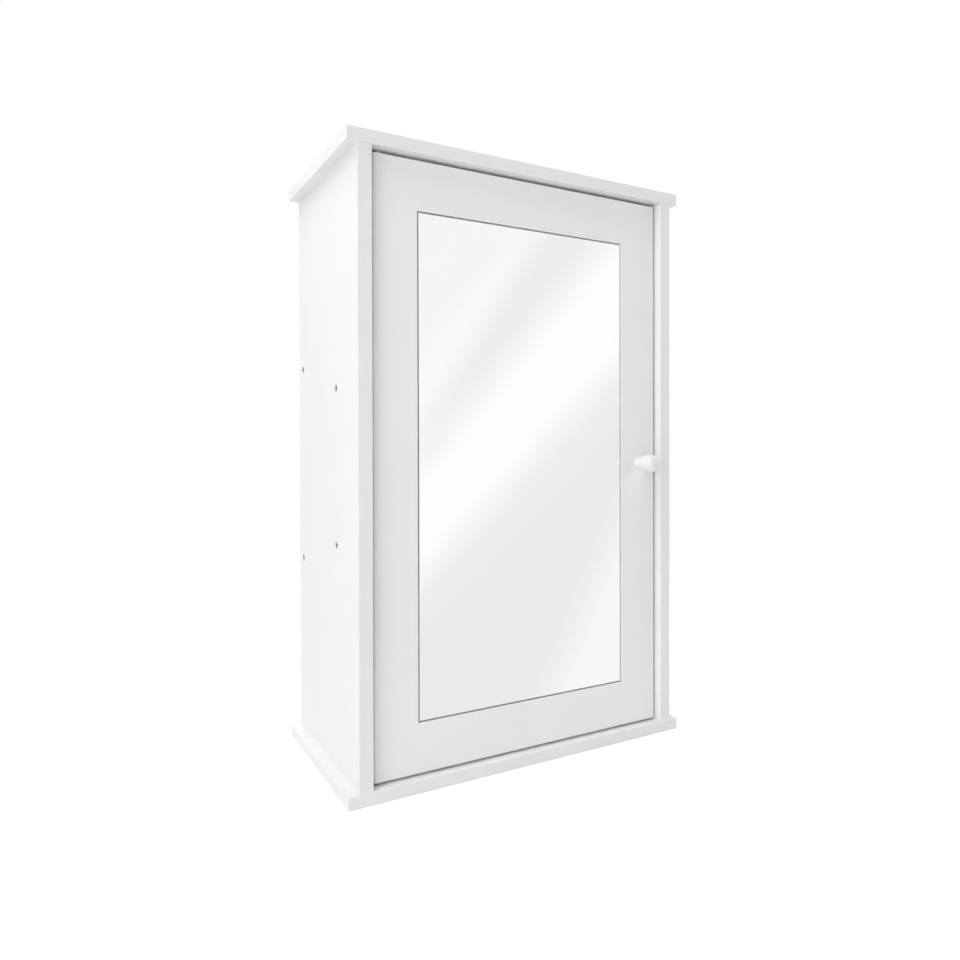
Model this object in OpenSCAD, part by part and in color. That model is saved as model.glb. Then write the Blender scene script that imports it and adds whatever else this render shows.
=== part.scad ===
// Bathroom mirror cabinet: a small wall cabinet with one inset mirror door.
// Origin: centre of the base plate's underside. +Z is up, the door faces -Y, the wall is at +Y.

/* [Carcass] */
// Width across the roof and base plates
cabinet_w = 340; // [300:5:420]
// Height from the base's underside to the roof's top
cabinet_h = 530; // [460:5:680]
// Depth of the roof and base plates
cabinet_d = 170; // [145:5:220]
// Thickness of the roof and base plates
plate_t = 11; // [9:0.5:15]
// Thickness of the side boards
side_t = 12; // [9:0.5:15]
// How far the plates stand out past each side board
overhang = 9.1; // [2:0.1:20]
// How far the side boards' front edges stand behind the plates' front edges
side_setback_front = 0.4; // [0.2:0.1:2]
// How far the side boards' rear edges stand in from the plates' rear edges
side_setback_rear = 1; // [0.5:0.5:3]
// Radius of the eased edges of the boards
arris_r = 0.5; // [0.4:0.1:1.2]

/* [Back] */
// Thickness of the back panel
back_t = 3; // [2.5:0.5:5]
// Distance from the side boards' rear edges to the back panel
back_inset = 5; // [3:0.5:10]
// Depth of the grooves that hold the back panel
groove_depth = 5; // [3:0.5:6]
// Play of the back panel in its grooves, on each face and edge
groove_play = 0.15; // [0.1:0.05:0.3]
// Diameter of a nail that holds the back panel to a rail
nail_d = 1.4; // [1.2:0.1:2]
// Diameter of a nail's head
nail_head_d = 3.2; // [2.8:0.1:4]
// Length of a nail
nail_l = 11; // [8:0.5:12]
// Distance of the outer nails from the ends of the rail
nail_inset = 22; // [16:1:28]
// Distance of the nails from the rail's middle line, on the shelf's side
nail_drop = 10; // [7:0.5:11]

/* [Shelves and rails] */
// Thickness of the shelves
shelf_t = 10.5; // [9:0.5:15]
// Height of each shelf's middle above or below the cabinet's mid-height
shelf_offset = 66; // [60:1:90]
// Gap between the closed door and the shelves' front edges
shelf_gap = 8; // [5:0.5:20]
// Height of a fixing rail
rail_h = 37.5; // [28:0.5:45]
// Thickness of a fixing rail
rail_t = 10.5; // [9:0.5:15]
// Diameter of the wall screw holes
wall_hole_d = 5.5; // [4.5:0.5:7]
// Distance between the wall screw holes in a rail
wall_hole_pitch = 200; // [160:5:220]

/* [Fasteners] */
// Diameter of a countersunk board screw's shank
screw_d = 3.5; // [3:0.1:4]
// Diameter of a board screw's head
screw_head_d = 6.6; // [6:0.1:7.5]
// Length of a screw through a side board
side_screw_l = 30; // [25:1:40]
// Length of a screw through the roof or base
plate_screw_l = 35; // [28:1:45]
// Depth of the heads below the painted face
screw_sink = 0.3; // [0.1:0.1:0.8]
// Distance of the shelf screws behind the plates' front edges
shelf_screw_y = 55; // [50:1:70]
// Distance of the roof and base screws from the side boards' front and rear edges
corner_screw_inset = 30; // [22:1:40]
// Diameter of the wooden dowels
dowel_d = 6; // [5:0.5:6.5]
// Length of a dowel
dowel_l = 24; // [20:1:30]
// Part of a dowel in the plate or side board that it crosses from
dowel_seat = 7; // [5:0.5:7.5]
// Distance of the shelf dowels in front of the back panel
shelf_dowel_inset = 36; // [30:1:45]
// Clearance round screws, nails, dowels and other fixed pieces in their holes
seat_play = 0.05; // [0.03:0.01:0.1]

/* [Door] */
// Thickness of the door panel
door_t = 12; // [12:0.5:15]
// How far the door's face stands behind the plates' front edges
door_recess = 7.5; // [4:0.5:12]
// Gap between the door and the left side board
hinge_gap = 3.3; // [3.3:0.1:6]
// Gap between the door and the right side board
latch_gap = 2.6; // [2.2:0.1:4]
// Gap above the door
top_gap = 2.9; // [2.4:0.1:5]
// Gap below the door
bottom_gap = 2.2; // [1.6:0.1:4]
// Width of the door's frame beside the mirror, on the hinge side
frame_hinge_w = 38.5; // [34:0.5:60]
// Width of the door's frame beside the mirror, on the knob side
frame_latch_w = 40.5; // [38:0.5:60]
// Height of the door's frame above the mirror
frame_top_h = 41; // [34:0.5:60]
// Height of the door's frame below the mirror
frame_bottom_h = 41.5; // [34:0.5:60]

/* [Mirror] */
// Thickness of the mirror glass
mirror_t = 3; // [3:0.5:4]
// Depth of the mirror's face below the door's face
mirror_recess = 0.3; // [0.2:0.1:1.6]
// Gap between the mirror's edge and its pocket
mirror_gap = 1.2; // [0.4:0.1:1.5]
// Width of the ground bevel round the mirror's front
mirror_bevel = 0.5; // [0.3:0.1:0.8]
// Thickness of the foam tape behind the mirror
tape_t = 1; // [0.8:0.1:1.2]
// Width of a strip of tape
tape_w = 19; // [12:1:25]
// Distance from the mirror's edges to the tape
tape_margin = 18; // [10:1:30]

/* [Hinge] */
// Distance of the hinge axis from the door's face
pivot_depth = 5; // [4.5:0.1:6]
// Diameter of the pivot pins
pin_d = 5; // [4:0.5:6]
// Length of a pin inside the door
pin_embed = 18; // [12:1:25]
// Length of a pin inside the roof or base
pin_reach = 6; // [5:0.5:6.5]
// Outside diameter of a pivot bush
bush_d = 8; // [7.5:0.5:10]
// Thickness of the floor that closes a bush
bush_floor_t = 0.8; // [0.6:0.1:1.2]
// Diameter of a bush's flange
bush_flange_d = 10.5; // [10.5:0.5:13]
// Thickness of a bush's flange, which lies flush in the plate
bush_flange_t = 0.8; // [0.6:0.1:1.2]
// Gap between a pin's end and its bush's floor
bearing_play = 0.2; // [0.1:0.05:0.4]
// Running clearance round a pin, on the radius
pin_play = 0.05; // [0.03:0.01:0.08]
// Chamfer round the end of a pin
pin_chamfer = 0.5; // [0.3:0.1:0.8]

/* [Knob] */
// Distance of the knob's axis from the door's right edge
knob_inset = 19.6; // [17:0.2:24]
// Projection of the knob from the door's face
knob_l = 25; // [20:0.5:35]
// Diameter of the knob's head
knob_head_d = 17.2; // [15:0.2:24]
// Diameter of the knob's foot
knob_foot_d = 11.4; // [11:0.2:14]
// Diameter of the knob's neck
knob_neck_d = 9.8; // [8.4:0.2:10.8]
// Height of the foot's straight part
knob_foot_h = 3; // [1:0.1:3.5]
// Height of the neck's narrowest place
knob_neck_h = 8; // [4.5:0.5:9]
// Height of the head's widest place
knob_head_h = 12.5; // [10:0.5:14]
// Fullness of the head's front, from 2 for an ellipse to 4 for a nearly flat face
knob_fullness = 3.3; // [2:0.1:4]
// Diameter of the knob's screw
knob_screw_d = 4; // [3.5:0.5:5]
// Length of the knob's screw inside the knob
knob_screw_grip = 11; // [8:1:15]

/* [Catch] */
// Height of the catch's middle above the cabinet's mid-height
catch_offset = 26; // [22:1:28]
// Length of the magnet and its pole plates
magnet_l = 18; // [14:1:20]
// Depth of the magnet, front to back
magnet_depth = 11; // [8:1:14]
// Thickness of the magnet
magnet_t = 5; // [4:0.5:6]
// Thickness of a pole plate
pole_t = 1.2; // [1:0.1:1.5]
// How far the pole plates stand out of the housing
pole_lip = 0.8; // [0.6:0.1:1.2]
// Thickness of the housing's walls
catch_wall = 1.6; // [1.2:0.1:2]
// Distance from the side board to the nearer pole plate
catch_standoff = 4.6; // [4.2:0.1:5.4]
// Thickness of the housing's screw tabs
tab_t = 2.2; // [1.8:0.1:3]
// Length of a screw tab
tab_l = 11; // [10:0.5:13]
// Thickness of the strike plate
strike_t = 1.2; // [1:0.1:1.5]
// Width of the strike plate
strike_w = 11; // [10:0.5:12]
// Distance from the strike plate to the door's right edge
strike_inset = 1.3; // [1.2:0.1:2]
// Land left round the heads of the strike plate's screws
strike_land = 1.5; // [1:0.1:2.5]
// Gap between the strike plate and the pole plates with the door closed
strike_play = 0.15; // [0.1:0.05:0.3]
// Diameter of the small screws' shank
small_screw_d = 3; // [2.5:0.1:3.2]
// Diameter of the small screws' head
small_head_d = 5.4; // [5:0.1:6]
// Length of a small screw
small_screw_l = 9; // [8:0.5:10]

/* [Hidden] */

$fn = 48;
// Overshoot of cutting solids past the faces that they cut
over = 1;

// Colours
paint = [0.93, 0.93, 0.92];
hardboard = [0.62, 0.50, 0.38];
beech = [0.80, 0.66, 0.46];
steel = [0.62, 0.63, 0.65];
white_nylon = [0.88, 0.88, 0.86];
ferrite = [0.20, 0.20, 0.21];
silver = [0.80, 0.84, 0.86];
foam = [0.90, 0.90, 0.90];

// Faces of the carcass
side_outer = cabinet_w / 2 - overhang;
side_inner = side_outer - side_t;
side_mid = side_outer - side_t / 2;
plate_front = -cabinet_d / 2;
side_front = plate_front + side_setback_front;
side_rear = cabinet_d / 2 - side_setback_rear;
floor_z = plate_t;
ceiling_z = cabinet_h - plate_t;
mid_z = cabinet_h / 2;

// Faces of the door
door_front = plate_front + door_recess;
door_rear = door_front + door_t;
door_left = -side_inner + hinge_gap;
door_right = side_inner - latch_gap;
door_bottom = floor_z + bottom_gap;
door_top = ceiling_z - top_gap;
door_mid_z = (door_bottom + door_top) / 2;

// Back panel, shelves and rails
back_rear = side_rear - back_inset;
back_front = back_rear - back_t;
shelf_front = door_rear + shelf_gap;
shelf_screw_line = plate_front + shelf_screw_y;
shelf_dowel_line = back_front - shelf_dowel_inset;
rail_line = back_front - rail_t / 2;
rail_offset = shelf_offset + shelf_t / 2 + rail_h / 2;

// Mirror and its pocket
pocket_depth = mirror_recess + mirror_t + tape_t;
pocket_left = door_left + frame_hinge_w;
pocket_right = door_right - frame_latch_w;
pocket_bottom = door_bottom + frame_bottom_h;
pocket_top = door_top - frame_top_h;
mirror_back = door_front + mirror_recess + mirror_t;

// Hinge axis, half the door's thickness in from its left edge
pivot_x = door_left + door_t / 2;
pivot_y = door_front + pivot_depth;
bush_depth = pin_reach + bearing_play + bush_floor_t;

// Knob axis
knob_x = door_right - knob_inset;

// Magnetic catch
catch_z = mid_z + catch_offset;
catch_front = door_rear + strike_t + strike_play + pole_lip;
catch_depth = magnet_depth + seat_play + catch_wall;
magnet_pocket_w = magnet_t + 2 * pole_t + 2 * seat_play;
magnet_pocket_l = magnet_l + 2 * seat_play;
magnet_x = side_inner - catch_standoff - magnet_pocket_w / 2;
catch_block_l = magnet_pocket_l + 2 * catch_wall;
catch_block_w = catch_standoff + magnet_pocket_w + catch_wall;
catch_screw_offset = catch_block_l / 2 + tab_l / 2;
strike_x = door_right - strike_inset - strike_w / 2;
strike_screw_offset = (magnet_l + small_head_d) / 2 + strike_land;
strike_l = 2 * (strike_screw_offset + small_head_d / 2 + strike_land);

// Rectangle from one corner to the other with rounded corners
module eased_section(size, r) {
  translate([r, 0]) square([size.x - 2 * r, size.y]);
  translate([0, r]) square([size.x, size.y - 2 * r]);
  for (x = [r, size.x - r], y = [r, size.y - r]) translate([x, y]) circle(r, $fn = 32);
}

// Board with its long edges along Z eased
module eased_upright(low, size) {
  translate(low) linear_extrude(size.z) eased_section([size.x, size.y], arris_r);
}

// Board with its long edges along X eased
module eased_crosswise(low, size) {
  translate(low) rotate([90, 0, 90]) linear_extrude(size.x) eased_section([size.y, size.z], arris_r);
}

// Board with every edge eased
module eased_board(low, size) {
  intersection() {
    eased_upright(low, size);
    eased_crosswise(low, size);
    translate([low.x, low.y + size.y, low.z]) rotate([90, 0, 0])
      linear_extrude(size.y) eased_section([size.x, size.z], arris_r);
  }
}

// Countersunk screw with a cross recess, its head's face at the origin and facing +Z
module countersunk_screw(head_d, shank_d, length) {
  head_h = (head_d - shank_d) / 2;
  tip_h = shank_d;
  recess_w = head_d * 0.15;
  recess_l = head_d * 0.58;
  recess_h = head_h * 0.75;
  difference() {
    union() {
      translate([0, 0, -head_h]) cylinder(h = head_h, d1 = shank_d, d2 = head_d);
      translate([0, 0, tip_h - length]) cylinder(h = length - tip_h - head_h, d = shank_d);
      translate([0, 0, -length]) cylinder(h = tip_h, d1 = shank_d / 5, d2 = shank_d);
    }
    for (a = [0, 90]) rotate(a)
      translate([-recess_l / 2, -recess_w / 2, -recess_h]) cube([recess_l, recess_w, recess_h + over]);
  }
}

// Hole that such a screw fits, with its head sunk below the face by sink
module screw_hole(head_d, shank_d, length, sink) {
  head_h = (head_d - shank_d) / 2;
  play = 2 * seat_play;
  cylinder(h = sink + over, d = head_d + play);
  translate([0, 0, -head_h]) cylinder(h = head_h, d1 = shank_d + play, d2 = head_d + play);
  translate([0, 0, -length - seat_play]) cylinder(h = length, d = shank_d + play);
}

// Places of the screws through one side board, with +Z out of the board
module at_side_screws(side) {
  for (level = [-1, 1]) {
    translate([side * (side_outer - screw_sink), shelf_screw_line, mid_z + level * shelf_offset])
      rotate([0, side * 90, 0]) children();
    translate([side * (side_outer - screw_sink), rail_line, mid_z + level * rail_offset])
      rotate([0, side * 90, 0]) children();
  }
}

// Places of the screws down through the roof, with +Z up
module at_roof_screws() {
  for (side = [-1, 1], y = [side_front + corner_screw_inset, side_rear - corner_screw_inset])
    translate([side * side_mid, y, cabinet_h - screw_sink]) children();
}

// Places of the screws up through the base, with +Z down
module at_base_screws() {
  for (side = [-1, 1], y = [side_front + corner_screw_inset, side_rear - corner_screw_inset])
    translate([side * side_mid, y, screw_sink]) rotate([180, 0, 0]) children();
}

// Dowel standing on the origin along +Z, or its hole when play is given
module dowel(play = 0) {
  translate([0, 0, -play]) cylinder(h = dowel_l + 2 * play, d = dowel_d + 2 * play);
}

// Places of the dowels between the side boards and the plates, with +Z into the side board
module at_corner_dowels() {
  for (side = [-1, 1]) {
    translate([side * side_mid, 0, ceiling_z + dowel_seat]) rotate([180, 0, 0]) children();
    translate([side * side_mid, 0, floor_z - dowel_seat]) children();
  }
}

// Places of the dowels between the side boards and the shelves, with +Z into the shelf
module at_shelf_dowels() {
  for (side = [-1, 1], level = [-1, 1])
    translate([side * (side_inner + dowel_seat), shelf_dowel_line, mid_z + level * shelf_offset])
      rotate([0, -side * 90, 0]) children();
}

// Places of the nails through the back panel, with +Z to the rear
module at_back_nails() {
  reach = side_inner - nail_inset;
  for (level = [-1, 1], x = [-reach, 0, reach])
    translate([x, back_rear, mid_z + level * (rail_offset - nail_drop)]) rotate([-90, 0, 0]) children();
}

// Places of the wall screw holes, with +Z to the rear
module at_wall_holes() {
  for (level = [-1, 1], side = [-1, 1])
    translate([side * wall_hole_pitch / 2, back_rear, mid_z + level * rail_offset])
      rotate([-90, 0, 0]) children();
}

module wall_holes() {
  at_wall_holes() translate([0, 0, -back_t - rail_t - over])
    cylinder(h = back_t + rail_t + 2 * over, d = wall_hole_d);
}

// Nail with its head flush with the face, or its hole when play is given
module nail(play = 0) {
  head_h = nail_head_d / 4;
  translate([0, 0, -nail_l - play]) cylinder(h = nail_l + play, d = nail_d + 2 * play, $fn = 24);
  translate([0, 0, -head_h - play])
    cylinder(h = head_h + (play > 0 ? over : 0), d = nail_head_d + 2 * play, $fn = 24);
}

// Space that the back panel's grooves take
module back_groove() {
  reach = side_inner + groove_depth;
  translate([-reach, back_front - groove_play, floor_z - groove_depth])
    cube([2 * reach, back_t + 2 * groove_play, ceiling_z - floor_z + 2 * groove_depth]);
}

// Plate between its lower and upper faces
module plate(low_z) {
  eased_board([-cabinet_w / 2, plate_front, low_z], [cabinet_w, cabinet_d, plate_t]);
}

// Seat of a pivot bush in a plate whose face is at the origin, facing +Z
module bush_seat() {
  translate([0, 0, -bush_depth - seat_play])
    cylinder(h = bush_depth + seat_play + over, d = bush_d + 2 * seat_play);
  translate([0, 0, -bush_flange_t]) cylinder(h = bush_flange_t + over, d = bush_flange_d + 2 * seat_play);
}

module roof_plate() {
  color(paint) difference() {
    plate(ceiling_z);
    back_groove();
    at_roof_screws() screw_hole(screw_head_d, screw_d, plate_screw_l, screw_sink);
    at_corner_dowels() dowel(seat_play);
    translate([pivot_x, pivot_y, ceiling_z]) rotate([180, 0, 0]) bush_seat();
  }
}

module base_plate() {
  color(paint) difference() {
    plate(0);
    back_groove();
    at_base_screws() screw_hole(screw_head_d, screw_d, plate_screw_l, screw_sink);
    at_corner_dowels() dowel(seat_play);
    translate([pivot_x, pivot_y, floor_z]) bush_seat();
  }
}

// Side board: side is -1 on the left and 1 on the right
module side_board(side) {
  difference() {
    eased_upright(
      [side > 0 ? side_inner : -side_outer, side_front, floor_z],
      [side_t, side_rear - side_front, ceiling_z - floor_z]
    );
    back_groove();
    at_side_screws(side) screw_hole(screw_head_d, screw_d, side_screw_l, screw_sink);
    at_roof_screws() screw_hole(screw_head_d, screw_d, plate_screw_l, screw_sink);
    at_base_screws() screw_hole(screw_head_d, screw_d, plate_screw_l, screw_sink);
    at_corner_dowels() dowel(seat_play);
    at_shelf_dowels() dowel(seat_play);
  }
}

module left_side() {
  color(paint) side_board(-1);
}

module right_side() {
  color(paint) difference() {
    side_board(1);
    at_catch_screws() screw_hole(small_head_d, small_screw_d, small_screw_l, 0);
  }
}

module back_panel() {
  reach = side_inner + groove_depth - groove_play;
  low_z = floor_z - groove_depth + groove_play;
  color(hardboard) difference() {
    translate([-reach, back_front, low_z]) cube([2 * reach, back_t, cabinet_h - 2 * low_z]);
    wall_holes();
    at_back_nails() nail(seat_play);
  }
}

// Shelf: level is -1 for the lower and 1 for the upper
module shelf(level) {
  difference() {
    eased_crosswise(
      [-side_inner, shelf_front, mid_z + level * shelf_offset - shelf_t / 2],
      [2 * side_inner, back_front - shelf_front, shelf_t]
    );
    for (side = [-1, 1]) at_side_screws(side) screw_hole(screw_head_d, screw_d, side_screw_l, screw_sink);
    at_shelf_dowels() dowel(seat_play);
  }
}

module upper_shelf() {
  color(paint) shelf(1);
}

module lower_shelf() {
  color(paint) shelf(-1);
}

// Fixing rail: the upper one stands on its shelf and the lower one hangs under its shelf
module fixing_rail(level) {
  difference() {
    eased_crosswise(
      [-side_inner, back_front - rail_t, mid_z + level * rail_offset - rail_h / 2],
      [2 * side_inner, rail_t, rail_h]
    );
    for (side = [-1, 1]) at_side_screws(side) screw_hole(screw_head_d, screw_d, side_screw_l, screw_sink);
    wall_holes();
    at_back_nails() nail(seat_play);
  }
}

module upper_fixing_rail() {
  color(paint) fixing_rail(1);
}

module lower_fixing_rail() {
  color(paint) fixing_rail(-1);
}

module left_side_screws() {
  color(steel) at_side_screws(-1) countersunk_screw(screw_head_d, screw_d, side_screw_l);
}

module right_side_screws() {
  color(steel) at_side_screws(1) countersunk_screw(screw_head_d, screw_d, side_screw_l);
}

module roof_screws() {
  color(steel) at_roof_screws() countersunk_screw(screw_head_d, screw_d, plate_screw_l);
}

module base_screws() {
  color(steel) at_base_screws() countersunk_screw(screw_head_d, screw_d, plate_screw_l);
}

module corner_dowels() {
  color(beech) at_corner_dowels() dowel();
}

module shelf_dowels() {
  color(beech) at_shelf_dowels() dowel();
}

module back_panel_nails() {
  color(steel) at_back_nails() nail();
}

// Flanged bush, open at +Z: its flange's face is at the origin and its closed sleeve goes down from there
module pivot_bush() {
  difference() {
    union() {
      translate([0, 0, -bush_depth]) cylinder(h = bush_depth - bush_flange_t / 2, d = bush_d);
      translate([0, 0, -bush_flange_t]) cylinder(h = bush_flange_t, d = bush_flange_d);
    }
    translate([0, 0, bush_floor_t - bush_depth]) cylinder(h = bush_depth + over, d = pin_d + 2 * pin_play);
  }
}

module top_pivot_bush() {
  color(white_nylon) translate([pivot_x, pivot_y, ceiling_z]) rotate([180, 0, 0]) pivot_bush();
}

module bottom_pivot_bush() {
  color(white_nylon) translate([pivot_x, pivot_y, floor_z]) pivot_bush();
}

// Places of the catch's screws, with +Z away from the side board
module at_catch_screws() {
  for (level = [-1, 1])
    translate([side_inner - tab_t, catch_front + catch_depth / 2, catch_z + level * catch_screw_offset])
      rotate([0, -90, 0]) children();
}

// Magnetic catch on the right side board's inner face
module catch_housing() {
  tab_span = catch_block_l + 2 * tab_l;
  color(white_nylon) difference() {
    union() {
      translate([side_inner - tab_t, catch_front, catch_z - tab_span / 2])
        cube([tab_t, catch_depth, tab_span]);
      translate([side_inner - catch_block_w, catch_front, catch_z - catch_block_l / 2])
        cube([catch_block_w, catch_depth, catch_block_l]);
    }
    translate([magnet_x - magnet_pocket_w / 2, catch_front - over, catch_z - magnet_pocket_l / 2])
      cube([magnet_pocket_w, magnet_depth + seat_play + over, magnet_pocket_l]);
    at_catch_screws() screw_hole(small_head_d, small_screw_d, small_screw_l, 0);
  }
}

module catch_magnet() {
  color(ferrite) translate([magnet_x - magnet_t / 2, catch_front, catch_z - magnet_l / 2])
    cube([magnet_t, magnet_depth, magnet_l]);
}

module catch_pole_plates() {
  color(steel) for (side = [-1, 1])
    translate([magnet_x + side * (magnet_t + pole_t) / 2 - pole_t / 2, catch_front - pole_lip,
      catch_z - magnet_l / 2])
      cube([pole_t, magnet_depth + pole_lip, magnet_l]);
}

module catch_screws() {
  color(steel) at_catch_screws() countersunk_screw(small_head_d, small_screw_d, small_screw_l);
}

// Section of a recess in a face: along X between two walls, into the face along +Y, rim rounded
module recess_section(from, to, depth) {
  translate([from, -over]) square([to - from, depth + over]);
  translate([from - arris_r, -over]) square([to - from + 2 * arris_r, over]);
  difference() {
    translate([from - arris_r, 0]) square([to - from + 2 * arris_r, arris_r]);
    for (x = [from - arris_r, to + arris_r]) translate([x, arris_r]) circle(arris_r, $fn = 32);
  }
}

// Pocket for the mirror, with its rim rounded all the way round
module mirror_pocket() {
  intersection() {
    translate([0, door_front, pocket_bottom - arris_r])
      linear_extrude(pocket_top - pocket_bottom + 2 * arris_r)
      recess_section(pocket_left, pocket_right, pocket_depth);
    translate([pocket_left - arris_r, door_front, 0]) rotate([90, 0, 90])
      linear_extrude(pocket_right - pocket_left + 2 * arris_r)
      rotate(90) mirror([0, 1]) recess_section(pocket_bottom, pocket_top, pocket_depth);
  }
}

// Pin along +Z from inside the door, or its hole when play is given
module pivot_pin(gap, play = 0) {
  radius = pin_d / 2 + play;
  straight = pin_embed + play + gap + pin_reach - pin_chamfer;
  translate([0, 0, -pin_embed - play]) cylinder(h = straight, r = radius);
  translate([0, 0, straight - pin_embed - play])
    cylinder(h = pin_chamfer, r1 = radius, r2 = radius - pin_chamfer);
}

module top_pivot_pin() {
  color(steel) translate([pivot_x, pivot_y, door_top]) pivot_pin(top_gap);
}

module bottom_pivot_pin() {
  color(steel) translate([pivot_x, pivot_y, door_bottom]) rotate([180, 0, 0]) pivot_pin(bottom_gap);
}

// Places of the strike plate's screws, with +Z to the rear
module at_strike_screws() {
  for (level = [-1, 1])
    translate([strike_x, door_rear + strike_t, catch_z + level * strike_screw_offset])
      rotate([-90, 0, 0]) children();
}

module strike_plate() {
  color(steel) difference() {
    translate([strike_x - strike_w / 2, door_rear, catch_z - strike_l / 2])
      cube([strike_w, strike_t, strike_l]);
    at_strike_screws() screw_hole(small_head_d, small_screw_d, small_screw_l, 0);
  }
}

module strike_screws() {
  color(steel) at_strike_screws() countersunk_screw(small_head_d, small_screw_d, small_screw_l);
}

module door_panel() {
  color(paint) difference() {
    eased_board(
      [door_left, door_front, door_bottom],
      [door_right - door_left, door_t, door_top - door_bottom]
    );
    mirror_pocket();
    translate([pivot_x, pivot_y, door_top]) pivot_pin(top_gap, seat_play);
    translate([pivot_x, pivot_y, door_bottom]) rotate([180, 0, 0]) pivot_pin(bottom_gap, seat_play);
    translate([knob_x, door_rear, door_mid_z]) rotate([90, 0, 0]) knob_screw_shape(seat_play);
    at_strike_screws() screw_hole(small_head_d, small_screw_d, small_screw_l, 0);
  }
}

// Section of the mirror between two edges, face at 0 and its ground bevel on the face side
module mirror_section(from, to) {
  polygon([
    [from + mirror_bevel, 0],
    [to - mirror_bevel, 0],
    [to, mirror_bevel],
    [to, mirror_t],
    [from, mirror_t],
    [from, mirror_bevel]
  ]);
}

module mirror_plate() {
  left = pocket_left + mirror_gap;
  right = pocket_right - mirror_gap;
  bottom = pocket_bottom + mirror_gap;
  top = pocket_top - mirror_gap;
  color(silver) intersection() {
    translate([0, mirror_back - mirror_t, bottom]) linear_extrude(top - bottom) mirror_section(left, right);
    translate([left, mirror_back - mirror_t, 0]) rotate([90, 0, 90]) linear_extrude(right - left)
      rotate(90) mirror([0, 1]) mirror_section(bottom, top);
  }
}

module mirror_tape() {
  low_z = pocket_bottom + mirror_gap + tape_margin;
  high_z = pocket_top - mirror_gap - tape_margin;
  first = pocket_left + mirror_gap + tape_margin + tape_w / 2;
  last = pocket_right - mirror_gap - tape_margin - tape_w / 2;
  color(foam) for (x = [first, (first + last) / 2, last])
    translate([x - tape_w / 2, mirror_back, low_z]) cube([tape_w, tape_t, high_z - low_z]);
}

// Half-width of the knob at a height above its foot
function blend(t) = (1 - cos(180 * t)) / 2;
function knob_radius(h) =
  h < knob_foot_h ? knob_foot_d / 2
  : h < knob_neck_h ? knob_foot_d / 2
    + (knob_neck_d - knob_foot_d) / 2 * blend((h - knob_foot_h) / (knob_neck_h - knob_foot_h))
  : h < knob_head_h ? knob_neck_d / 2
    + (knob_head_d - knob_neck_d) / 2 * blend((h - knob_neck_h) / (knob_head_h - knob_neck_h))
  : knob_head_d / 2
    * pow(max(0, 1 - pow((h - knob_head_h) / (knob_l - knob_head_h), knob_fullness)), 1 / knob_fullness);

// Screw through the door into the knob, from the door's rear face along +Z
module knob_screw_shape(play = 0) {
  translate([0, 0, -over * sign(play)])
    cylinder(h = door_t + knob_screw_grip + over * sign(play) + play, d = knob_screw_d + 2 * play);
}

// Turned knob, its axis out of the door's face
module knob() {
  steps = 36;
  heights = [for (i = [0:steps]) knob_l * sin(90 * i / steps)];
  outline = concat([[0, 0]], [for (h = heights) [knob_radius(h), h]]);
  color(paint) difference() {
    translate([knob_x, door_front, door_mid_z]) rotate([90, 0, 0]) rotate_extrude($fn = 64) polygon(outline);
    translate([knob_x, door_rear, door_mid_z]) rotate([90, 0, 0]) knob_screw_shape(seat_play);
  }
}

module knob_screw() {
  head_d = knob_screw_d * 1.9;
  head_h = knob_screw_d * 0.6;
  recess_w = head_d * 0.14;
  recess_l = head_d * 0.55;
  color(steel) translate([knob_x, door_rear, door_mid_z]) rotate([90, 0, 0]) difference() {
    union() {
      knob_screw_shape();
      translate([0, 0, -head_h / 2]) cylinder(h = head_h / 2, d = head_d);
      translate([0, 0, -head_h]) cylinder(h = head_h / 2, d1 = head_d * 0.8, d2 = head_d);
    }
    for (a = [0, 90]) rotate(a)
      translate([-recess_l / 2, -recess_w / 2, -head_h - over]) cube([recess_l, recess_w, head_h * 0.7 + over]);
  }
}

roof_plate();
base_plate();
left_side();
right_side();
back_panel();
upper_shelf();
lower_shelf();
upper_fixing_rail();
lower_fixing_rail();
left_side_screws();
right_side_screws();
roof_screws();
base_screws();
corner_dowels();
shelf_dowels();
back_panel_nails();
top_pivot_bush();
bottom_pivot_bush();
catch_housing();
catch_magnet();
catch_pole_plates();
catch_screws();
door_panel();
mirror_plate();
mirror_tape();
top_pivot_pin();
bottom_pivot_pin();
knob();
knob_screw();
strike_plate();
strike_screws();
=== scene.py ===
"""Looks of the white bathroom mirror cabinet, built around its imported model."""

import math

import bmesh
import bpy
from mathutils import Euler, Matrix, Vector

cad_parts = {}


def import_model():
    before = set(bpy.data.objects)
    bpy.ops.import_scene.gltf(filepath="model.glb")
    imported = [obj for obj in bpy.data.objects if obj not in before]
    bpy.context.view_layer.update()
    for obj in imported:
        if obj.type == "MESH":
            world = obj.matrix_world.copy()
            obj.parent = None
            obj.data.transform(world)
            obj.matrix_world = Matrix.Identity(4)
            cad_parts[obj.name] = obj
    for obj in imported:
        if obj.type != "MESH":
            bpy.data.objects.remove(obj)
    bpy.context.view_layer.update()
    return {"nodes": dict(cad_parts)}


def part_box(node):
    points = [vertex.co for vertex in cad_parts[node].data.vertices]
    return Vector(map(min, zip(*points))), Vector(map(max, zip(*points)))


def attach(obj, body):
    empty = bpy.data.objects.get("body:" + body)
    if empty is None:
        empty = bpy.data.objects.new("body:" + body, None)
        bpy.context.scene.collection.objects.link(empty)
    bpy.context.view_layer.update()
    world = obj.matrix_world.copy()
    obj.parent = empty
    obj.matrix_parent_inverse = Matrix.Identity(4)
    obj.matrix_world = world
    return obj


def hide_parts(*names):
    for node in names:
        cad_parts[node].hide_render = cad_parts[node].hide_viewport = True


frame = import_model()
nodes = frame["nodes"]

MM_PER_M = 1000

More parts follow.
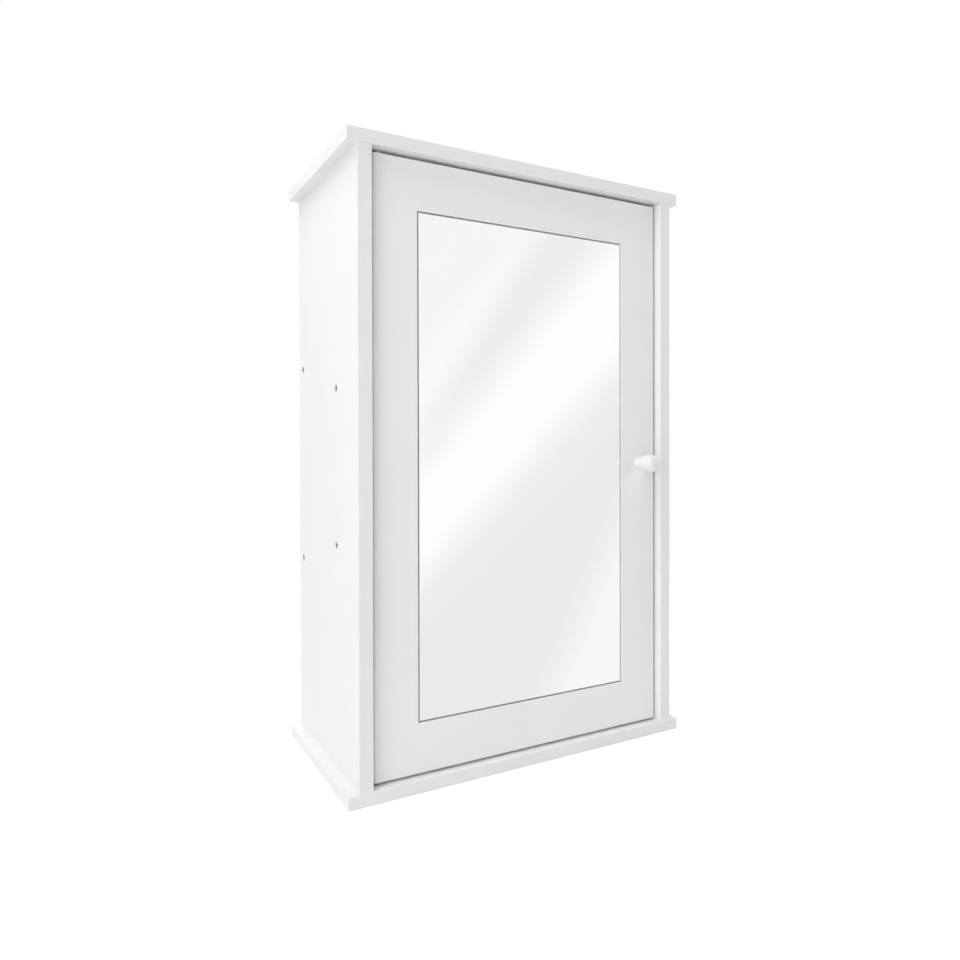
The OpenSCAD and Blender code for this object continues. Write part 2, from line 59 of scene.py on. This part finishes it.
# Camera, from a fit to the photograph's corners. Pixels are those of a 960 px frame.
FRAME_PX = 960
SENSOR_MM = 36
FOCAL_PX = 736.7
OPTICAL_AXIS_PX = (479.85, 446.23)
CAMERA_PLACE = (-0.3548, -0.6305, 0.286)
CAMERA_YAW = math.radians(28.927)
CAMERA_PITCH = math.radians(-0.361)
CAMERA_ROLL = math.radians(-0.13)
CAMERA_NEAR = 0.01

# Lamps stand at one distance from the cabinet's middle and face it.
LAMP_TARGET = (0, 0, 0.26)
LAMP_DISTANCE = 2.3
LAMP_SIZE = 1.5

# The surroundings: white where the camera sees them, and a weak light on the object from the left.
BACKGROUND = (1.0, 1.0, 1.0)
SIDE_LIGHT_FROM = (-1, 0, 0)
SIDE_LIGHT = 0.062
# The soft diagonal bands that glossy things show: their tone before the first edge, then each edge
# as two directions that it runs through, half its width in degrees, and the change of tone past it.
BAND_START = 0.922
BAND_EDGES = [
    ((31, 14.5), (25.5, 8), 1, 0.038),
    ((31.5, 12.5), (25.5, 2.5), 1.6, -0.117),
    ((36, 12), (24.5, -1.5), 2.2, 0.152),
    ((38, 4.5), (25.5, -9), 1.7, -0.1),
    ((38.5, 2), (26, -11), 3.1, -0.068),
    ((38.5, -8.5), (35, -17), 1.7, 0.107),
]

# The floor's size, tone and glow, and the distances over which it gives way to the background
FLOOR_SIZE = 12
FLOOR_TONE = 0.9
FLOOR_GLOW = 0.5
FLOOR_FADE = (0.5, 1.1)

# Colours, or the two tones that a material wanders between
PAINT = (0.88, 0.879, 0.88)
KNOB_PAINT = (0.836, 0.835, 0.836)
ZINC = (0.62, 0.62, 0.62)
NYLON = ((0.8, 0.8, 0.775), (0.86, 0.86, 0.835))
FERRITE = ((0.04, 0.04, 0.045), (0.09, 0.09, 0.1))
FOAM = ((0.7, 0.7, 0.68), (0.84, 0.84, 0.82))
# Shares of its colour that the paint wanders between, and how far its roughness wanders
PAINT_WANDER = (0.985, 1.01)
PAINT_SHEEN_WANDER = 0.04
# Painted shade on the boards' cut front and rear edges: the share of the paint's tone that they
# keep, and the distances from the middle plane between which a board's face turns into that shaded
# edge
PAINTED_EDGE_SHADE = 0.96
EDGE_SHADE_BAND = (0.0836, 0.0842)

# The knob's outline: height and half-width of its foot, neck and head, in millimetres, then how
# square its head is, the rim's easing on its foot, and the lathe's steps
KNOB_LENGTH = 25
KNOB_FOOT = (3, 5.7)
KNOB_NECK = (8, 4.9)
KNOB_HEAD = (12.5, 8.6)
KNOB_FULLNESS = 3.3
KNOB_FOOT_EASE = 0.4
KNOB_STEPS = 96
KNOB_TURNS = 128


class Nodes:
    """A short way to write the nodes of a material or of the world."""

    def __init__(self, owner, output="ShaderNodeOutputMaterial"):
        owner.use_nodes = True
        self.tree = owner.node_tree
        self.tree.nodes.clear()
        self.output = self.add(output)

    def add(self, kind, inputs=None, **settings):
        """Adds a node, then sets its properties and its sockets, which are values or sockets."""
        node = self.tree.nodes.new(kind)
        for name, value in settings.items():
            setattr(node, name, value)
        for name, value in (inputs or {}).items():
            socket = node.inputs[name]
            if isinstance(value, bpy.types.NodeSocket):
                self.tree.links.new(value, socket)
            else:
                socket.default_value = value
        return node

    def place(self):
        """The place on the object, in metres."""
        return self.add("ShaderNodeTexCoord").outputs["Object"]

    def math(self, operation, a, b=0.0, c=0.0):
        """A math node's result."""
        return self.add("ShaderNodeMath", {0: a, 1: b, 2: c}, operation=operation).outputs[0]

    def along(self, vector, direction):
        """How far a vector reaches in a direction."""
        inputs = {0: vector, 1: direction}
        return self.add("ShaderNodeVectorMath", inputs, operation="DOT_PRODUCT").outputs["Value"]

    def noise(self, place, scale, detail, distortion=0.0):
        """Soft noise between 0 and 1."""
        inputs = {"Vector": place, "Scale": scale, "Detail": detail, "Distortion": distortion}
        return self.add("ShaderNodeTexNoise", inputs).outputs["Fac"]

    def spread(self, value, low, high, first=0.0, last=1.0, **settings):
        """Turns first..last into low..high."""
        inputs = {
            "Value": value, "From Min": first, "From Max": last, "To Min": low, "To Max": high,
        }
        return self.add("ShaderNodeMapRange", inputs, **settings).outputs["Result"]

    def ramp(self, value, *stops):
        """A soft colour ramp through stops of a position and a grey or a colour."""
        node = self.add("ShaderNodeValToRGB", {"Fac": value})
        elements = node.color_ramp.elements
        while len(elements) < len(stops):
            elements.new(1)
        for element, (position, tone) in zip(elements, stops):
            element.position = position
            element.color = (*tone, 1) if isinstance(tone, tuple) else (tone, tone, tone, 1)
        node.color_ramp.interpolation = "EASE"
        return node.outputs["Color"]

    def bump(self, height, strength, depth=0.0003):
        """The surface's direction over a fine relief."""
        inputs = {"Height": height, "Strength": strength, "Distance": depth}
        return self.add("ShaderNodeBump", inputs).outputs["Normal"]

    def glow(self, tone, strength=1.0):
        """A surface that gives light."""
        inputs = {"Color": (*tone, 1), "Strength": strength}
        return self.add("ShaderNodeEmission", inputs).outputs[0]

    def sky(self, tone, strength=1.0):
        """Light of the surroundings."""
        return self.add("ShaderNodeBackground", {"Color": tone, "Strength": strength}).outputs[0]

    def mix(self, share, first, second):
        """The first shader at a share of 0 and the second at 1."""
        return self.add("ShaderNodeMixShader", {0: share, 1: first, 2: second}).outputs[0]

    def rays(self):
        """Whether the camera sees a place straight, and whether by way of gloss or glass."""
        path = self.add("ShaderNodeLightPath").outputs
        mirrored = self.math("MAXIMUM", path["Is Glossy Ray"], path["Is Transmission Ray"])
        return path["Is Camera Ray"], mirrored

    def show(self, shader):
        """Makes a shader the one that is shown."""
        self.tree.links.new(shader, self.output.inputs["Surface"])

    def skin(self, tone, roughness, normal=None, metallic=0.0, specular=0.5):
        """Shows an ordinary surface of this tone, roughness and relief."""
        inputs = {
            "Base Color": tone, "Roughness": roughness,
            "Metallic": metallic, "Specular IOR Level": specular,
        }
        if normal is not None:
            inputs["Normal"] = normal
        self.show(self.add("ShaderNodeBsdfPrincipled", inputs).outputs[0])


def new_material(name):
    """A new material and its nodes."""
    material = bpy.data.materials.new(name)
    return material, Nodes(material)


def heading(around, up):
    """A direction by its degrees round from -Y towards +X, and its degrees up."""
    around, up = math.radians(around), math.radians(up)
    level = math.cos(up)
    return Vector((math.sin(around) * level, -math.cos(around) * level, math.sin(up)))


def make_camera():
    """The photograph's viewpoint."""
    data = bpy.data.cameras.new("camera")
    data.sensor_width = SENSOR_MM
    data.lens = FOCAL_PX / FRAME_PX * SENSOR_MM
    data.shift_x = (FRAME_PX / 2 - OPTICAL_AXIS_PX[0]) / FRAME_PX
    data.shift_y = (OPTICAL_AXIS_PX[1] - FRAME_PX / 2) / FRAME_PX
    data.clip_start = CAMERA_NEAR
    camera = bpy.data.objects.new("camera", data)
    camera.location = CAMERA_PLACE
    upright = Euler((math.pi / 2 + CAMERA_PITCH, 0, -CAMERA_YAW)).to_matrix()
    camera.rotation_euler = (upright @ Matrix.Rotation(CAMERA_ROLL, 3, "Z")).to_euler()
    bpy.context.scene.collection.objects.link(camera)
    bpy.context.scene.camera = camera


def lamp(name, around, up, power, width=LAMP_SIZE):
    """A large soft lamp at a heading from the cabinet's middle: its power in watts, its width."""
    data = bpy.data.lights.new(name, "AREA")
    data.shape = "RECTANGLE"
    data.size, data.size_y = width, LAMP_SIZE
    data.energy = power
    item = bpy.data.objects.new(name, data)
    outwards = heading(around, up)
    item.location = Vector(LAMP_TARGET) + LAMP_DISTANCE * outwards
    item.rotation_euler = (-outwards).to_track_quat("-Z", "Y").to_euler()
    item.visible_glossy = False
    bpy.context.scene.collection.objects.link(item)


def world():
    """Plain pale surroundings, with soft diagonal bands of light that only glossy things show."""
    studio = bpy.data.worlds.new("studio")
    bpy.context.scene.world = studio
    tree = Nodes(studio, "ShaderNodeOutputWorld")
    seen, mirrored = tree.rays()
    direction = tree.add("ShaderNodeTexCoord").outputs["Generated"]
    tone = BAND_START
    for first, last, softness, change in BAND_EDGES:
        past = heading(*first).cross(heading(*last)).normalized()
        reach = math.sin(math.radians(softness))
        step = tree.spread(
            tree.along(direction, past), 0.0, change, -reach, reach, interpolation_type="SMOOTHSTEP"
        )
        tone = tree.math("ADD", tone, step)
    facing = tree.math("MAXIMUM", tree.along(direction, SIDE_LIGHT_FROM), 0.0)
    light = tree.sky((1, 1, 1, 1), tree.math("MULTIPLY", facing, SIDE_LIGHT))
    unseen = tree.mix(mirrored, light, tree.sky(tone))
    tree.show(tree.mix(seen, unseen, tree.sky((*BACKGROUND, 1))))


def floor():
    """A wide pale floor. It keeps the object's shadow, and doesn't show in reflections."""
    bpy.ops.mesh.primitive_plane_add(size=FLOOR_SIZE)
    plane = bpy.context.object
    plane.name = "floor"
    material, tree = new_material("floor")
    seen, mirrored = tree.rays()
    tone = (FLOOR_TONE, FLOOR_TONE, FLOOR_TONE, 1)
    matt = tree.add("ShaderNodeBsdfDiffuse", {"Color": tone}).outputs[0]
    lit = tree.add("ShaderNodeAddShader", {0: matt, 1: tree.glow((1, 1, 1), FLOOR_GLOW)}).outputs[0]
    distance = tree.add("ShaderNodeVectorMath", {0: tree.place()}, operation="LENGTH")
    far = tree.spread(distance.outputs["Value"], 0.0, 1.0, *FLOOR_FADE)
    shown = tree.mix(seen, matt, tree.mix(far, lit, tree.glow(BACKGROUND)))
    clear = tree.add("ShaderNodeBsdfTransparent").outputs[0]
    tree.show(tree.mix(mirrored, shown, clear))
    plane.data.materials.append(material)


def painted(name, colour, roughness, texture_mm, relief, edge_shade=1.0):
    """White lacquer on wood: a faint orange peel, with slow changes of tone and sheen.

    The cut front and rear edges of the boards can be darkened by a painted shade.
    """
    material, tree = new_material(name)
    place = tree.place()
    slow = tree.noise(place, scale=9, detail=3)
    peel = tree.noise(place, scale=MM_PER_M / texture_mm, detail=2)
    low, high = (tuple(min(c * share, 1) for c in colour) for share in PAINT_WANDER)
    tone = tree.ramp(slow, (0.3, low), (0.7, high))
    # Painted shade: the cut front and rear edges are darkened to a share of the paint's tone.
    if edge_shade != 1:
        depth = tree.add("ShaderNodeSeparateXYZ", {0: place}).outputs["Y"]
        edge = tree.spread(tree.math("ABSOLUTE", depth), 1.0, edge_shade, *EDGE_SHADE_BAND)
        edge_shaded = tree.add("ShaderNodeVectorMath", {0: tone, "Scale": edge}, operation="SCALE")
        tone = edge_shaded.outputs["Vector"]
    sheen = tree.spread(slow, roughness - PAINT_SHEEN_WANDER, roughness + PAINT_SHEEN_WANDER)
    tree.skin(tone, sheen, tree.bump(peel, relief), specular=0.4)
    return material


def silvered(name):
    """The mirror's silver behind clear glass, with a trace of haze."""
    material, tree = new_material(name)
    haze = tree.noise(tree.place(), scale=14, detail=4)
    tone = tree.ramp(haze, (0.3, 0.99), (0.7, 0.998))
    tree.skin(tone, tree.spread(haze, 0.005, 0.02), metallic=1.0)
    return material


def metal(name, colour, roughness, wander=0.08, darkest=0.8):
    """Zinc-plated steel with a fine grain."""
    material, tree = new_material(name)
    grain = tree.noise(tree.place(), scale=1800, detail=3)
    low = tuple(c * darkest for c in colour)
    tone = tree.ramp(grain, (0.35, low), (0.65, colour))
    tree.skin(tone, tree.spread(grain, roughness - wander, roughness + wander), metallic=1.0)
    return material


def hardboard(name):
    """Pressed brown fibres: short flecks over a slow change of tone, on a smooth face."""
    material, tree = new_material(name)
    place = tree.place()
    slow = tree.noise(place, scale=12, detail=4)
    fineness = (420, 420, 1500)
    drawn = tree.add("ShaderNodeMapping", {"Vector": place, "Scale": fineness})
    fibre = tree.noise(drawn.outputs["Vector"], scale=1, detail=4, distortion=1.2)
    fibre_share, slow_share = 0.7, 0.3
    mixed = tree.math("MULTIPLY_ADD", fibre, fibre_share, tree.math("MULTIPLY", slow, slow_share))
    dark, brown, light = (0.21, 0.125, 0.066), (0.3, 0.19, 0.105), (0.42, 0.285, 0.175)
    tone = tree.ramp(mixed, (0.3, dark), (0.5, brown), (0.72, light))
    tree.skin(tone, tree.spread(fibre, 0.42, 0.66), tree.bump(fibre, 0.25))
    return material


def beech(name):
    """Turned beech: fine grain along the boards' width, with short darker rays."""
    material, tree = new_material(name)
    fineness = (60, 900, 900)
    drawn = tree.add("ShaderNodeMapping", {"Vector": tree.place(), "Scale": fineness})
    grain = tree.noise(drawn.outputs["Vector"], scale=1, detail=4, distortion=0.6)
    ray, wood, pale = (0.5, 0.33, 0.19), (0.66, 0.47, 0.29), (0.74, 0.56, 0.37)
    tone = tree.ramp(grain, (0.3, ray), (0.55, wood), (0.75, pale))
    tree.skin(tone, tree.spread(grain, 0.55, 0.7), tree.bump(grain, 0.2, depth=0.0002))
    return material


def grained(name, tones, scale, roughness, relief, wander=0.07):
    """An even material between two tones, whose grain also shows in its sheen and relief."""
    material, tree = new_material(name)
    grain = tree.noise(tree.place(), scale=scale, detail=3)
    tone = tree.ramp(grain, (0.35, tones[0]), (0.65, tones[1]))
    sheen = tree.spread(grain, roughness - wander, roughness + wander)
    tree.skin(tone, sheen, tree.bump(grain, relief))
    return material


def between(first, last, height):
    """Half-width between two (height, half-width) points of the knob, along a soft S."""
    share = (height - first[0]) / (last[0] - first[0])
    return first[1] + (last[1] - first[1]) * (1 - math.cos(math.pi * share)) / 2


def knob_radius(height):
    """Half-width of the knob at a height above the door's face, in millimetres."""
    if height < KNOB_FOOT[0]:
        inset = KNOB_FOOT_EASE - min(height, KNOB_FOOT_EASE)
        return KNOB_FOOT[1] - KNOB_FOOT_EASE + math.sqrt(KNOB_FOOT_EASE**2 - inset**2)
    if height < KNOB_NECK[0]:
        return between(KNOB_FOOT, KNOB_NECK, height)
    if height < KNOB_HEAD[0]:
        return between(KNOB_NECK, KNOB_HEAD, height)
    past = (height - KNOB_HEAD[0]) / (KNOB_LENGTH - KNOB_HEAD[0])
    return KNOB_HEAD[1] * (1 - past**KNOB_FULLNESS) ** (1 / KNOB_FULLNESS)


def turned_knob(material):
    """The knob as a fine lathe, on the CAD knob's axis and of its size."""
    low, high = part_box("knob")
    axis_x, axis_z = (low[0] + high[0]) / 2, (low[2] + high[2]) / 2
    mesh = bmesh.new()
    rings = []
    for step in range(KNOB_STEPS):
        height = KNOB_LENGTH * math.sin(math.pi / 2 * step / KNOB_STEPS)
        radius = knob_radius(height) / MM_PER_M
        ring = []
        for turn in range(KNOB_TURNS):
            angle = 2 * math.pi * turn / KNOB_TURNS
            x, z = axis_x + radius * math.cos(angle), axis_z + radius * math.sin(angle)
            ring.append(mesh.verts.new((x, high[1] - height / MM_PER_M, z)))
        rings.append(ring)
    foot = mesh.verts.new((axis_x, high[1], axis_z))
    tip = mesh.verts.new((axis_x, high[1] - KNOB_LENGTH / MM_PER_M, axis_z))
    for turn in range(KNOB_TURNS):
        after = (turn + 1) % KNOB_TURNS
        mesh.faces.new((foot, rings[0][after], rings[0][turn])).smooth = False
        for ring, above in zip(rings, rings[1:]):
            mesh.faces.new((ring[turn], ring[after], above[after], above[turn])).smooth = True
        mesh.faces.new((rings[-1][turn], rings[-1][after], tip)).smooth = True
    bmesh.ops.recalc_face_normals(mesh, faces=mesh.faces)
    data = bpy.data.meshes.new("turned_knob")
    mesh.to_mesh(data)
    mesh.free()
    data.materials.append(material)
    piece = bpy.data.objects.new("turned_knob", data)
    bpy.context.scene.collection.objects.link(piece)
    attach(piece, "door")
    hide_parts("knob")


def dress(material, *names):
    """Gives CAD nodes a material."""
    for name in names:
        for held in nodes[name].material_slots:
            held.material = material


def dress_boards():
    """The carcass, the door and the back panel."""
    sheen = {"roughness": 0.42, "texture_mm": 1.4, "relief": 0.12}
    dress(painted("door_paint", PAINT, **sheen), "door_panel")
    # The boards' paint carries a painted shade on their cut front and rear edges.
    dress(
        painted("board_paint", PAINT, **sheen, edge_shade=PAINTED_EDGE_SHADE),
        "roof_plate", "base_plate", "left_side", "right_side", "upper_shelf", "lower_shelf",
        "upper_fixing_rail", "lower_fixing_rail",
    )
    dress(hardboard("hardboard"), "back_panel")


def dress_knob():
    """The CAD knob and the lathe that stands for it."""
    paint = painted("knob_paint", KNOB_PAINT, roughness=0.32, texture_mm=0.9, relief=0.08)
    dress(paint, "knob")
    turned_knob(paint)


def dress_fittings():
    """The mirror with its tape, the catch, the hinge and the fasteners."""
    dress(silvered("mirror_silver"), "mirror_plate")
    dress(grained("foam_tape", FOAM, scale=2400, roughness=0.85, relief=0.7), "mirror_tape")
    dress(
        metal("zinc", ZINC, roughness=0.32),
        "left_side_screws", "right_side_screws", "roof_screws", "base_screws", "catch_screws",
        "strike_screws", "knob_screw", "strike_plate", "catch_pole_plates", "top_pivot_pin",
        "bottom_pivot_pin", "back_panel_nails",
    )
    dress(beech("beech"), "corner_dowels", "shelf_dowels")
    dress(
        grained("white_nylon", NYLON, scale=700, roughness=0.38, relief=0.1),
        "top_pivot_bush", "bottom_pivot_bush", "catch_housing",
    )
    dress(grained("ferrite", FERRITE, scale=1600, roughness=0.55, relief=0.3), "catch_magnet")


make_camera()
world()
floor()
lamp("left_high", -80, 60, 32.8)
lamp("left_low", -55, 10, 23.2)
lamp("front_high", -38, 40, 3, width=0.5)
lamp("right_low", 35, 10, 6.8)
lamp("right_high", 75, 25, 18.5)
lamp("top", -45, 85, 7)
lamp("back", 165, 20, 24, width=1.0)
dress_boards()
dress_knob()
dress_fittings()

bpy.context.scene.view_settings.view_transform = "Standard"
